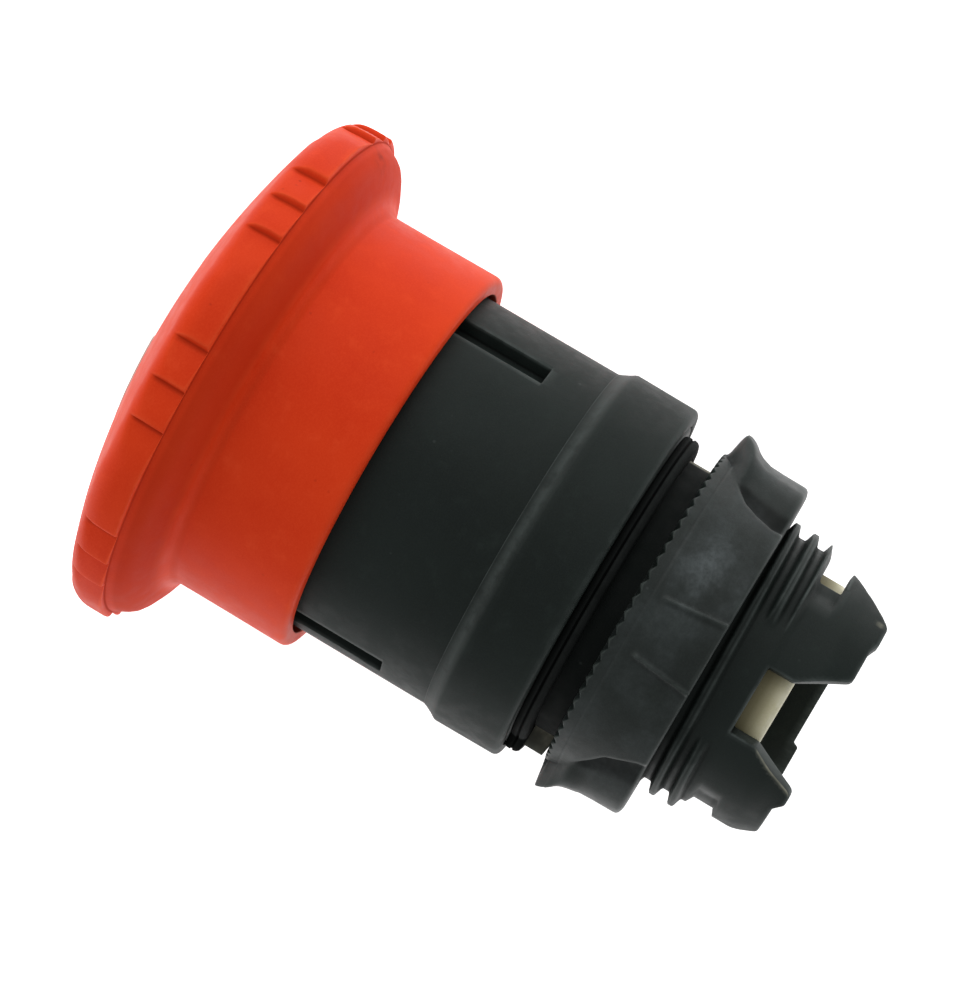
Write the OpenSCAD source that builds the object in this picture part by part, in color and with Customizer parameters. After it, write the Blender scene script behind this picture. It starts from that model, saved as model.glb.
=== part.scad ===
// Emergency stop operating head for a 22 mm panel hole, turn to release.
// Every piece is drawn along Z with the cap up and the panel's front face at Z = 0,
// then laid down so that the cap faces -Y and the rear of the panel is +Y.

/* [Cap] */
// Largest radius of the cap
cap_r = 20; // [19:0.1:20.4]
// Outside radius of the cap's skirt
skirt_r = 15.2; // [15.1:0.1:15.6]
// Radius of the cap's domed front
dome_r = 53.8; // [50:0.1:60]
// Height of the top of the dome above the panel
cap_top = 36.85; // [36.8:0.05:37]
// Height of the skirt's rear lip above the panel
skirt_end = 18.1; // [16:0.1:19]
// Groups of saw-tooth grips round the rim
grip_groups = 8; // [6:1:9]
// Depth of a grip's step
grip_depth = 0.5; // [0.3:0.05:0.6]

/* [Body] */
// Outside radius of the sleeve
sleeve_r = 13.6; // [13.3:0.02:13.62]
// Inside radius of the sleeve
sleeve_bore_r = 11.9; // [11.88:0.01:11.95]
// Height of the sleeve's front end above the panel
sleeve_top = 26.5; // [25.5:0.1:27]
// Width of a sleeve groove
groove_w = 1.9; // [1.2:0.1:2.4]
// Outside radius of the bezel ring
bezel_r = 14.23; // [14:0.01:15]
// Height of the bezel's front edge above the panel
bezel_top = 6.6; // [5.5:0.1:7.5]
// Thickness of the gasket between bezel and panel
gasket_h = 1.2; // [0.8:0.1:1.6]

/* [Barrel] */
// Radius of the neck that fills the panel hole, and of the thread's crests
neck_r = 10.9; // [10.8:0.02:11]
// Radius at the bottom of the thread
root_r = 10.1; // [10:0.05:10.3]
// Radius of the barrel's bore
barrel_bore_r = 8.8; // [8.78:0.01:8.85]
// Thread pitch
pitch = 1.5; // [1.4:0.05:1.6]
// Height of the locating key's outer face from the axis
key_r = 12.55; // [12.2:0.05:12.7]
// Width of the locating key
key_w = 3; // [2.6:0.1:3.2]
// Depth of the thread's rear end behind the panel
thread_end = 12.05; // [11.5:0.05:12.5]
// Depth of the tongues' rear ends behind the panel
tongue_end = 17.8; // [17.6:0.1:18.2]

/* [Nut] */
// Depth of the nut's toothed front face behind the panel
nut_front = 2.01; // [2.01:0.01:2.1]
// Depth of the nut's rear face behind the panel
nut_rear = 8.35; // [8:0.05:9]
// Teeth on the nut's front face
nut_teeth = 72; // [48:12:84]

/* [Motion] */
// How far the cap presses in
press_travel = 4.5; // [3:0.1:4.5]
// How far a pawl slides in over the whole press
pawl_travel = 0.9; // [0.5:0.1:1]
// How far the cap turns to let go, degrees
turn_range = 40; // [20:5:60]

/* [Hidden] */
$fn = 96;

red = [0.80, 0.16, 0.08];
black = [0.12, 0.13, 0.13];
cream = [0.86, 0.83, 0.74];
steel = [0.72, 0.73, 0.75];
rubber = [0.06, 0.06, 0.06];
white = [0.93, 0.93, 0.91];

fit = 0.05;                                  // gap between a shaft and the bore it turns or slides in
clear = 0.3;                                 // gap between pieces that pass without touching
key_side = 0;                                // direction of the locating key, degrees
window_side = 90;                            // direction of the gap that shows the plunger
slant = pawl_travel / press_travel;          // radius lost per mm along the stem's latch taper
finger_half = 12;                            // half the angle of a stop finger under the hub, degrees
skirt_bore_r = sleeve_r + 0.39;
cap_ceiling = cap_top - 3.65;
dome_centre = cap_top - dome_r;
rim_rear = cap_top - 6.55;
hub_top = cap_ceiling - 2;
hub_bottom = hub_top - 2.2;
stem_r = 3;
clip_z = hub_top + 0.05;
taper_r = 5.6;
taper_low = 11;
taper_high = 18.3;
housing_low = 4.9;
housing_top = 15.5;
pawl_low = 11.7;
pawl_h = 1.6;
pawl_nose = taper_r - slant * (pawl_low - taper_low) + clear + 0.05;
pawl_back = 9.6;
plunger_r = barrel_bore_r - 0.1;
plunger_end = 14.15;
hook_top = 13.85;
tongue_r = 10.05;

// A sector of a disc, for cutting angular windows
function sector(r, from, to, steps = 12) =
    concat([[0, 0]], [for (i = [0:steps]) let (a = from + (to - from) * i / steps) [r * cos(a), r * sin(a)]]);

// Points of an arc in the radius and height plane
function arc(r, z, size, from, to, steps = 6) =
    [for (i = [0:steps]) let (a = from + (to - from) * i / steps) [r + size * cos(a), z + size * sin(a)]];

// Points of a helix, and the tube of wire round it
function helix_at(t, r, length, turns) = [r * cos(360 * turns * t), r * sin(360 * turns * t), length * t];
function wire_point(t, around, r, wire, length, turns) =
    let (p = helix_at(t, r, length, turns), a = 360 * turns * t)
    [p.x + wire * cos(around) * cos(a), p.y + wire * cos(around) * sin(a), p.z + wire * sin(around)];

module lay_down() {
    rotate([90, 0, 0]) children();
}

module ring(r_out, r_in, low, high) {
    translate([0, 0, low]) difference() {
        cylinder(r = r_out, h = high - low);
        translate([0, 0, -1]) cylinder(r = r_in, h = high - low + 2);
    }
}

module wedge(r, from, to, low, high) {
    translate([0, 0, low]) linear_extrude(high - low) polygon(sector(r, from, to));
}

// A flat outline of width and height, pushed out radially in one direction
module radial_prism(direction, depth = 16) {
    rotate([0, 0, direction + 90]) rotate([90, 0, 0]) linear_extrude(depth) children();
}

// A coil of round wire along Z
module coil(r, wire, low, high, turns, steps = 20, sides = 8) {
    count = round(turns * steps);
    points = [for (i = [0:count]) for (j = [0:sides - 1])
        wire_point(i / count, 360 * j / sides, r, wire, high - low - 2 * wire, turns)];
    side_faces = [for (i = [0:count - 1]) for (j = [0:sides - 1])
        [i * sides + j, i * sides + (j + 1) % sides, (i + 1) * sides + (j + 1) % sides, (i + 1) * sides + j]];
    first = [[for (j = [0:sides - 1]) sides - 1 - j]];
    last = [[for (j = [0:sides - 1]) count * sides + j]];
    translate([0, 0, low + wire]) polyhedron(points, concat(side_faces, first, last));
}

// ---- cap ----

module cap_outline() {
    polygon(concat(
        [[0, cap_top - 12], [0, cap_top]],
        [for (r = [3:3:15]) [r, dome_centre + sqrt(dome_r * dome_r - r * r)]],
        arc(cap_r - 1.92, cap_top - 5.18, 1.92, 69, 5),
        [[cap_r, rim_rear + 1.2], [cap_r - 0.12, rim_rear + 0.1], [cap_r - 0.55, rim_rear]],
        [[cap_r - 0.75, rim_rear - 0.4], [cap_r - 1.3, rim_rear - 1.3], [cap_r - 2.5, rim_rear - 1.95]],
        [[cap_r - 3.45, rim_rear - 2.32]],
        arc(skirt_r + 0.8, rim_rear - 3.35, 0.8, 110, 180),
        [[skirt_r, skirt_end + 1.1]],
        arc(skirt_r - 0.75, skirt_end + 0.75, 0.75, 0, -90, 4),
        [[skirt_bore_r, skirt_end], [skirt_bore_r, cap_top - 12]]
    ));
}

// One saw-tooth step: steep on one side, a slow ramp on the other
module grip_notch() {
    translate([0, 0, rim_rear - 0.01]) linear_extrude(3.3) polygon([
        [cap_r - grip_depth, 0], [cap_r + 1, 0], [cap_r + 1, -3.2], [cap_r - 0.1, -2.6]
    ]);
}

// A curved arrow that points clockwise as the cap is seen from in front
module arrow_2d() {
    difference() {
        polygon(sector(10.6, -90, -25, 16));
        circle(r = 8.6);
    }
    polygon([for (p = [[12.6, -88], [9.6, -108], [6.6, -88]]) p[0] * [cos(p[1]), sin(p[1])]]);
}

module mushroom_cap() {
    color(red) lay_down() difference() {
        rotate_extrude() cap_outline();
        translate([0, 0, cap_ceiling - 20]) cylinder(r = skirt_bore_r, h = 20);
        for (g = [0:grip_groups - 1]) for (step = [-1:1])
            rotate([0, 0, window_side + g * 360 / grip_groups + step * 9.2]) grip_notch();
        ring(10.3, 9.2, cap_ceiling - 0.5, cap_ceiling + 1);
    }
}

module turn_arrows() {
    raised = 0.12;
    color(white) lay_down() intersection() {
        for (turn = [0, 120, 240]) rotate([0, 0, turn])
            translate([0, 0, cap_top - 4]) linear_extrude(5) arrow_2d();
        difference() {
            translate([0, 0, dome_centre]) sphere(r = dome_r + raised);
            translate([0, 0, dome_centre]) sphere(r = dome_r);
        }
    }
}

module cap_hub() {
    color(black) lay_down() difference() {
        union() {
            ring(11.4, 6, hub_bottom, cap_ceiling);
            ring(6.5, stem_r + fit, hub_bottom, hub_top);
            ring(4.4, stem_r + fit, hub_bottom - 9.6, hub_bottom + 0.1);
            ring(10.2, 9.3, cap_ceiling - 0.1, cap_ceiling + 0.9);
            for (side = [0, 180]) intersection() {
                ring(9.95, 9, hub_bottom - 8, hub_bottom + 0.1);
                wedge(12, side - finger_half, side + finger_half, hub_bottom - 8, hub_bottom + 0.1);
            }
        }
        for (turn = [45:90:315]) rotate([0, 0, turn]) translate([8.4, 0, hub_bottom - 1]) cylinder(r = 0.9, h = 6);
    }
}

module hub_clip() {
    color(steel) lay_down() difference() {
        ring(5.2, stem_r - 0.45, clip_z, clip_z + 0.6);
        wedge(8, 75, 105, clip_z - 1, clip_z + 2);
    }
}

module release_cam() {
    low = hub_bottom - 9.8;
    color(cream) lay_down() {
        ring(5.9, 4.42, low, low + 1.8);
        for (side = [90, 270]) intersection() {
            ring(5.9, 4.7, low - 0.7, low + 0.1);
            wedge(8, side - 25, side + 25, low - 0.7, low + 0.1);
        }
    }
}

module turn_spring() {
    color(steel) lay_down() coil(5.5, 0.35, hub_bottom - 7.9, hub_bottom - 0.05, 8);
}

module thrust_washer() {
    color(steel) lay_down() ring(8.9, 6.3, hub_bottom - 0.6, hub_bottom);
}

// ---- latch ----

module main_spring() {
    color(steel) lay_down() coil(7.6, 0.5, housing_top + 0.52, hub_bottom - 0.62, 6);
}

module spring_seat() {
    color(steel) lay_down() ring(8.9, 6.45, housing_top, housing_top + 0.5);
}

module turn_stop() {
    color(black) lay_down() {
        ring(sleeve_bore_r - fit, 10.25, 20.5, 22.5);
        for (side = [0, 180]) for (start = [finger_half + 2, -finger_half - turn_range - 14]) intersection() {
            ring(10.35, 9.05, 20.5, 22.5);
            wedge(12, side + start, side + start + 12, 20.5, 22.5);
        }
    }
}

module latch_housing() {
    pocket_w = 5.4;
    color(black) lay_down() difference() {
        union() {
            ring(sleeve_bore_r - fit, 6.4, 9.9, housing_top);
            ring(sleeve_bore_r - fit, 9.2, housing_low, 9.95);
        }
        translate([-20, -pocket_w / 2, pawl_low - 0.2]) cube([40, pocket_w, pawl_h + 0.4]);
    }
}

module latch_pawl(side) {
    rotate([0, 0, side]) difference() {
        translate([pawl_nose, -2.5, pawl_low]) cube([pawl_back - pawl_nose, 5, pawl_h]);
        translate([pawl_back - 0.5, 0, pawl_low + pawl_h / 2]) rotate([0, 90, 0]) cylinder(r = 0.72, h = 1);
    }
}

module latch_pawl_left() {
    color(steel) lay_down() latch_pawl(180);
}

module latch_pawl_right() {
    color(steel) lay_down() latch_pawl(0);
}

module pawl_spring(side) {
    rotate([0, 0, side]) translate([0, 0, pawl_low + pawl_h / 2]) rotate([0, 90, 0])
        coil(0.5, 0.13, pawl_back - 0.48, sleeve_bore_r - 0.02, 4, 14, 6);
}

module pawl_spring_left() {
    color(steel) lay_down() pawl_spring(180);
}

module pawl_spring_right() {
    color(steel) lay_down() pawl_spring(0);
}

module sleeve_seal() {
    color(rubber) lay_down() rotate_extrude() polygon([
        [12.95, sleeve_top - 2.75], [sleeve_r + 0.16, sleeve_top - 2.75], [sleeve_r + 0.16, sleeve_top - 2.45],
        [sleeve_r - 0.1, sleeve_top - 2.1], [sleeve_r - 0.1, sleeve_top - 1.75], [12.95, sleeve_top - 1.75]
    ]);
}

// ---- plunger ----

module plunger_stem() {
    foot = -plunger_end + 2.2;
    color(steel) lay_down() difference() {
        rotate_extrude() polygon([
            [0, foot], [6.6, foot], [6.6, foot + 1.4], [stem_r, foot + 1.4], [stem_r, 8],
            [taper_r - 0.4, 8], [taper_r, 8.4], [taper_r, taper_low],
            [taper_r - slant * (taper_high - taper_low), taper_high], [stem_r, taper_high + 0.6],
            [stem_r, clip_z + 1.1], [stem_r - 0.5, clip_z + 1.4], [0, clip_z + 1.4]
        ]);
        ring(stem_r + 1, stem_r - 0.5, clip_z - 0.05, clip_z + 0.65);
    }
}

module trip_spring() {
    color(steel) lay_down() coil(6.35, 0.38, -plunger_end + 3.65, 8.85, 8);
}

module trip_seat() {
    color(steel) lay_down() ring(9.15, 5.95, 8.9, 9.85);
}

module plunger() {
    wall = 1.5;
    color(cream) lay_down() difference() {
        rotate_extrude() polygon([
            [0, -plunger_end], [plunger_r - 0.5, -plunger_end], [plunger_r - 0.15, -plunger_end + 0.15],
            [plunger_r, -plunger_end + 0.5], [plunger_r, 4], [plunger_r - wall, 4],
            [plunger_r - wall, -plunger_end + 2.15], [0, -plunger_end + 2.15]
        ]);
        ring(6.4, 5.2, -plunger_end - 1, -plunger_end + 0.7);
        translate([0, 0, -plunger_end - 1]) cylinder(r = 1.6, h = 1.8);
    }
}

// ---- body ----

module outer_sleeve() {
    color(black) lay_down() difference() {
        rotate_extrude() polygon([
            [neck_r + fit, gasket_h], [12.9, gasket_h], [12.9, bezel_top - 0.4], [sleeve_r, bezel_top - 0.4],
            [sleeve_r, sleeve_top - 2.8], [12.9, sleeve_top - 2.8], [12.9, sleeve_top - 1.7],
            [sleeve_r - 0.1, sleeve_top - 1.7], [sleeve_r - 0.1, sleeve_top - 0.6],
            [sleeve_r - 0.6, sleeve_top], [sleeve_bore_r, sleeve_top], [sleeve_bore_r, gasket_h + 1.8],
            [neck_r + fit, gasket_h + 1.8]
        ]);
        for (turn = [30, 150, 270]) rotate([0, 0, turn])
            translate([sleeve_r - 1, -groove_w / 2, 11.25]) cube([3, groove_w, sleeve_top]);
    }
}

module bezel_ring() {
    color(black) lay_down() rotate_extrude() polygon(concat(
        [[12.95, gasket_h]],
        arc(bezel_r - 0.45, gasket_h + 0.45, 0.45, -90, 0, 4),
        arc(bezel_r - 0.45, bezel_top - 0.65, 0.45, 0, 80, 4),
        [[sleeve_r + 0.2, bezel_top], [sleeve_r + 0.06, bezel_top + 0.3], [sleeve_r + 0.02, bezel_top + 0.3]],
        [[sleeve_r + 0.02, bezel_top - 0.45], [12.95, bezel_top - 0.45]]
    ));
}

module panel_gasket() {
    lobe_r = 13.25;
    color(rubber) lay_down() difference() {
        union() {
            rotate_extrude() polygon([
                [neck_r + 0.04, 0], [11.9, 0], [12.2, 0.15], [12.3, 0.45], [12.3, gasket_h], [neck_r + 0.04, gasket_h]
            ]);
            intersection() {
                ring(lobe_r, neck_r + 0.04, 0.05, gasket_h);
                wedge(16, key_side - 14, key_side + 14, 0, gasket_h);
            }
        }
        translate([0, -key_w / 2 - 0.05, -1]) cube([key_r + 0.05, key_w + 0.1, gasket_h + 2]);
    }
}

// A tongue cut from the tube behind the thread by its outline, seen from outside and drawn pointing to the rear
module tongue(direction, outline) {
    intersection() {
        rotate_extrude() polygon([
            [barrel_bore_r, -thread_end + 0.1], [root_r, -thread_end + 0.1], [root_r, -thread_end - 0.25],
            [tongue_r - 0.55, -thread_end - 0.5], [tongue_r - 0.55, -hook_top + 0.1], [tongue_r, -hook_top - 0.2],
            [tongue_r, -hook_top - 1.3], [tongue_r - 0.45, -tongue_end + 0.5], [tongue_r - 0.95, -tongue_end],
            [barrel_bore_r, -tongue_end]
        ]);
        radial_prism(direction) polygon(outline);
    }
}

// Two tongues flank the window; the third lies opposite it. Each has a hooked head and a nose at one rear corner.
module tongues() {
    base = -thread_end + 0.1;
    hook = -hook_top;
    nose = -tongue_end;
    tongue(window_side + 53.5, [
        [-6.4, base], [2.2, base], [2.2, hook], [5.2, hook], [5.1, hook - 0.4], [2.2, nose + 0.6], [1.3, nose],
        [-0.6, nose], [-1.8, nose + 0.35], [-6.4, nose + 0.35]
    ]);
    tongue(window_side - 53.5, [
        [-5.6, base], [6.4, base], [6.4, nose], [2.8, nose], [2.2, nose + 0.5], [-2.2, nose + 0.6],
        [-5.1, hook - 0.4], [-5.6, hook - 0.3]
    ]);
    tongue(window_side + 180, [
        [-4.2, base], [5.4, base], [5.4, hook], [7, hook], [7, nose + 0.8], [4.5, nose + 0.8], [4.4, nose + 1.25],
        [-3.5, nose + 1.25], [-5.6, hook - 0.4], [-5.6, hook], [-4.2, hook]
    ]);
}

module thread_ridges() {
    first = -2.9;
    count = floor((thread_end + first) / pitch);
    intersection() {
        rotate_extrude() for (i = [0:count]) translate([0, first - i * pitch]) polygon([
            [root_r - 0.3, -0.62], [root_r, -0.55], [neck_r - 0.1, -0.24], [neck_r, -0.12],
            [neck_r, 0.12], [neck_r - 0.1, 0.24], [root_r, 0.55], [root_r - 0.3, 0.62]
        ]);
        union() {
            wedge(16, key_side - 54, key_side + 54, -thread_end, -1.9);
            wedge(16, key_side + 126, key_side + 234, -thread_end, -1.9);
        }
    }
}

module threaded_barrel() {
    color(black) lay_down() difference() {
        union() {
            ring(root_r, barrel_bore_r, -thread_end, gasket_h);
            ring(neck_r, barrel_bore_r, -2, gasket_h + 2);
            ring(sleeve_bore_r - fit, barrel_bore_r, gasket_h + 1.8, housing_low - 0.05);
            thread_ridges();
            translate([neck_r - 0.5, -key_w / 2, -1.55]) cube([key_r - neck_r + 0.5, key_w, gasket_h + 1.55]);
            tongues();
        }
        radial_prism(window_side) polygon([
            [-2.65, -thread_end], [2.65, -thread_end], [2.65, -plunger_end], [5.4, -tongue_end - 0.75],
            [-5.4, -tongue_end - 0.75], [-2.65, -plunger_end]
        ]);
    }
}

// ---- nut ----

// Height of an ear over the nut's length: a tall peak at the front, then a low plateau
module ear_outline() {
    polygon(concat(
        [[12, -nut_front - 0.4], [12.9, -nut_front - 0.3]],
        arc(14.14, -nut_front - 0.6, 0.45, 110, -20, 5),
        arc(15.9, -nut_front - 3.2, 2.5, 130, 180, 6),
        [[13.4, -nut_rear + 0.35], [13.1, -nut_rear], [12, -nut_rear]]
    ));
}

module mounting_nut() {
    ring_rear = nut_front + 0.7;
    nut_turn = 6;
    color(black) lay_down() rotate([0, 0, nut_turn]) difference() {
        union() {
            rotate_extrude() polygon([
                [neck_r + 0.08, -nut_front], [12.2, -nut_front], [12.5, -nut_front - 0.3], [12.5, -ring_rear],
                [12.6, -ring_rear - 0.2], [12.6, -nut_rear + 0.35], [12.3, -nut_rear], [neck_r + 0.08, -nut_rear]
            ]);
            for (side = [0, 180]) intersection() {
                rotate_extrude() ear_outline();
                radial_prism(side) polygon([
                    [-2.2, -nut_front - 0.2], [2.2, -nut_front - 0.2], [4.5, -nut_front - 2], [8.2, -nut_rear],
                    [-8.2, -nut_rear], [-4.5, -nut_front - 2]
                ]);
            }
            for (side = [90, 270]) intersection() {
                ring(12.95, 12, -nut_rear + 0.1, -nut_front - 2.1);
                radial_prism(side) polygon([
                    [-2.2, -nut_front - 2.1], [2.2, -nut_front - 2.1], [2.65, -nut_rear + 0.1], [-2.65, -nut_rear + 0.1]
                ]);
            }
        }
        for (t = [0:nut_teeth - 1]) rotate([0, 0, t * 360 / nut_teeth])
            translate([11.6, 0, -nut_front]) rotate([45, 0, 0]) cube([4, 0.5, 0.5], center = true);
    }
}

mushroom_cap();
turn_arrows();
cap_hub();
hub_clip();
release_cam();
turn_spring();
thrust_washer();
main_spring();
spring_seat();
turn_stop();
latch_housing();
latch_pawl_left();
latch_pawl_right();
pawl_spring_left();
pawl_spring_right();
plunger_stem();
trip_spring();
trip_seat();
sleeve_seal();
outer_sleeve();
bezel_ring();
panel_gasket();
threaded_barrel();
mounting_nut();
plunger();
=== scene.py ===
# Looks for an emergency stop operating head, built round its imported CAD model.
# Sizes are in millimetres along the head's own axis: z is 0 at the panel's front face,
# the cap is at +z and the rear of the panel at -z. to_row() turns them into the row frame.
import math

import bmesh
import bpy
import numpy as np
from mathutils import Euler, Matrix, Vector
from mathutils.geometry import delaunay_2d_cdt


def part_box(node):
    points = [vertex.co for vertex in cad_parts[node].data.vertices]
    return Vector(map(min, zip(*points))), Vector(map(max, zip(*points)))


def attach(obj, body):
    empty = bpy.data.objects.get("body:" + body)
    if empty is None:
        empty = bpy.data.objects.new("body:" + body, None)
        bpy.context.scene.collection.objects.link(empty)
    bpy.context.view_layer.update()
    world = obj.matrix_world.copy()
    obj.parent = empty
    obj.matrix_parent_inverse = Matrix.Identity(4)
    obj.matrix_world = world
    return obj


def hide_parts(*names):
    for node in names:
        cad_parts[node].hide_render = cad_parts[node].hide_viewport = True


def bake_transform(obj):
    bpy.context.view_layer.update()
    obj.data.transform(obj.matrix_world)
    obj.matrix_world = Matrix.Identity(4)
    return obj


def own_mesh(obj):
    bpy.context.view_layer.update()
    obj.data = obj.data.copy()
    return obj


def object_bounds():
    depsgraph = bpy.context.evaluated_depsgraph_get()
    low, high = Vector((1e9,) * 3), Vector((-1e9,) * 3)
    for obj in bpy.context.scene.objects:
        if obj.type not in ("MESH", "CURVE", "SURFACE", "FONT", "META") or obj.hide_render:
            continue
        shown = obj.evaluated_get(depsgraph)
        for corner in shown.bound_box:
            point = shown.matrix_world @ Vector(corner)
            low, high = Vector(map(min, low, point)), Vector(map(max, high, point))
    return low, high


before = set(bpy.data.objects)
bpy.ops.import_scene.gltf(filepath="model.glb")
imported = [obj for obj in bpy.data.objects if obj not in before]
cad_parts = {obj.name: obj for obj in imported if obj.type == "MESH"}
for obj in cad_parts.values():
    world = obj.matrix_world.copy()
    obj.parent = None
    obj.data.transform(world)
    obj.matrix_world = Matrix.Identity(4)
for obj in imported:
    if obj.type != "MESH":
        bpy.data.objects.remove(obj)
cad_box = [list(corner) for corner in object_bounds()]

MM = 0.001
WELD = 0.002 * MM

# ---------------------------------------------------------------- dimensions, mm
CAP_R = 20.0
CAP_TOP = 36.845
DOME_R = 53.8
RIM_ROUND = 1.92
RIM_REAR = 30.3
RIM_FRONT = 31.67
CREASE_Z = 27.93
SKIRT_R = 15.2
SKIRT_END = 18.1
SKIRT_BORE_R = 13.99
CAP_CEILING = 33.2
GRIP_GROUPS = 8
GRIP_STEP = 9.2
GRIP_DEPTH = 0.5
SLEEVE_R = 13.6
SLEEVE_BORE_R = 11.9
SLEEVE_TOP = 26.5
GROOVE_W = 1.9
GROOVE_END = 11.25
GROOVE_SIDES = (30, 150, 270)
BEZEL_R = 14.23
BEZEL_TOP = 6.6
GASKET_H = 1.2
NECK_R = 10.9
ROOT_R = 10.1
BARREL_BORE_R = 8.8
PITCH = 1.5
KEY_R = 12.55
KEY_W = 3.0
THREAD_END = -12.05
TONGUE_END = -17.79
HOOK_TOP = -13.85
NUT_FRONT = -1.75
NUT_REAR = -8.35
NUT_TURN = 6
NUT_TEETH = 72
PLUNGER_R = 8.7
PLUNGER_END = -14.15
WINDOW = 90


# ---------------------------------------------------------------- camera, floor and lights
def add_camera():
    data = bpy.data.cameras.new("camera")
    data.lens = 118.8
    data.sensor_width = 36
    data.clip_start = 0.01
    data.clip_end = 10
    camera = bpy.data.objects.new("camera", data)
    camera.location = (-0.03761, 0.01008, 0.23176)
    camera.rotation_euler = Euler([math.radians(a) for a in (-5.139, 8.936, 119.780)])
    bpy.context.scene.collection.objects.link(camera)
    bpy.context.scene.camera = camera


def add_area(name, place, size, power):
    """A round, soft light at place that shines on the origin."""
    data = bpy.data.lights.new(name, "AREA")
    data.shape = "DISK"
    data.size = size
    data.energy = power
    light = bpy.data.objects.new(name, data)
    light.location = place
    light.rotation_euler = (-Vector(place)).to_track_quat("-Z", "Y").to_euler()
    light.visible_camera = False
    bpy.context.scene.collection.objects.link(light)


def add_world():
    world = bpy.data.worlds.new("studio")
    world.use_nodes = True
    background = world.node_tree.nodes["Background"]
    background.inputs["Color"].default_value = (1, 1, 1, 1)
    background.inputs["Strength"].default_value = 0.46
    bpy.context.scene.world = world


def add_floor():
    half = 1.5
    z = cad_box[0][2]
    corners = [(-half, -half, z), (half, -half, z), (half, half, z), (-half, half, z)]
    mesh = bpy.data.meshes.new("floor")
    mesh.from_pydata(corners, [], [(0, 1, 2, 3)])
    floor = bpy.data.objects.new("floor", mesh)
    bpy.context.scene.collection.objects.link(floor)
    material = bpy.data.materials.new("floor_white")
    material.use_nodes = True
    shader = material.node_tree.nodes["Principled BSDF"]
    shader.inputs["Base Color"].default_value = (0.93, 0.93, 0.93, 1)
    shader.inputs["Roughness"].default_value = 0.9
    shader.inputs["Specular IOR Level"].default_value = 0.1
    shader.inputs["Emission Color"].default_value = (1, 1, 1, 1)
    shader.inputs["Emission Strength"].default_value = 0.9
    mesh.materials.append(material)


add_camera()
add_world()
add_floor()
add_area("key", (-0.49, -0.29, 0.32), 0.7, 1.75)
add_area("fill", (0.3, -0.45, 0.3), 0.5, 0.38)
bpy.context.scene.view_settings.view_transform = "Standard"
bpy.context.scene.view_settings.look = "None"


# ---------------------------------------------------------------- materials
class Graph:
    """A short way to add and join shader nodes in one material."""

    def __init__(self, name):
        self.material = bpy.data.materials.new(name)
        self.material.use_nodes = True
        self.tree = self.material.node_tree
        self.shader = self.tree.nodes["Principled BSDF"]
        self.coords = self.tree.nodes.new("ShaderNodeTexCoord").outputs["Object"]

    def link(self, source, target):
        if isinstance(source, (int, float, tuple)):
            target.default_value = source
        else:
            self.tree.links.new(source, target)

    def noise(self, scale, detail=3, roughness=0.5, stretch=None):
        node = self.tree.nodes.new("ShaderNodeTexNoise")
        node.inputs["Scale"].default_value = scale
        node.inputs["Detail"].default_value = detail
        node.inputs["Roughness"].default_value = roughness
        place = self.coords
        if stretch:
            mapping = self.tree.nodes.new("ShaderNodeMapping")
            mapping.inputs["Scale"].default_value = stretch
            self.link(self.coords, mapping.inputs["Vector"])
            place = mapping.outputs["Vector"]
        self.link(place, node.inputs["Vector"])
        return node.outputs["Fac"]

    def cells(self, scale):
        node = self.tree.nodes.new("ShaderNodeTexVoronoi")
        node.inputs["Scale"].default_value = scale
        self.link(self.coords, node.inputs["Vector"])
        return node.outputs["Distance"]

    def span(self, value, low, high, out_low=0.0, out_high=1.0):
        node = self.tree.nodes.new("ShaderNodeMapRange")
        node.interpolation_type = "SMOOTHSTEP"
        node.inputs["From Min"].default_value = low
        node.inputs["From Max"].default_value = high
        node.inputs["To Min"].default_value = out_low
        node.inputs["To Max"].default_value = out_high
        self.link(value, node.inputs["Value"])
        return node.outputs["Result"]

    def math(self, operation, a, b):
        node = self.tree.nodes.new("ShaderNodeMath")
        node.operation = operation
        self.link(a, node.inputs[0])
        self.link(b, node.inputs[1])
        return node.outputs["Value"]

    def mix(self, factor, a, b, blend="MIX"):
        node = self.tree.nodes.new("ShaderNodeMix")
        node.data_type = "RGBA"
        node.blend_type = blend
        node.clamp_factor = True
        self.link(factor, node.inputs["Factor"])
        self.link(a, node.inputs["A"])
        self.link(b, node.inputs["B"])
        return node.outputs["Result"]

    def painted(self, name):
        node = self.tree.nodes.new("ShaderNodeAttribute")
        node.attribute_name = name
        return node.outputs["Fac"]

    def bump(self, height, depth_mm, strength=1.0, under=None):
        node = self.tree.nodes.new("ShaderNodeBump")
        node.inputs["Distance"].default_value = depth_mm * MM
        node.inputs["Strength"].default_value = strength
        self.link(height, node.inputs["Height"])
        if under is not None:
            self.link(under, node.inputs["Normal"])
        return node.outputs["Normal"]


def rgb(r, g, b):
    """Linear colour of an 8-bit display colour."""
    def linear(c):
        c /= 255
        return c / 12.92 if c <= 0.04045 else ((c + 0.055) / 1.055) ** 2.4
    return (linear(r), linear(g), linear(b), 1.0)


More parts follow.
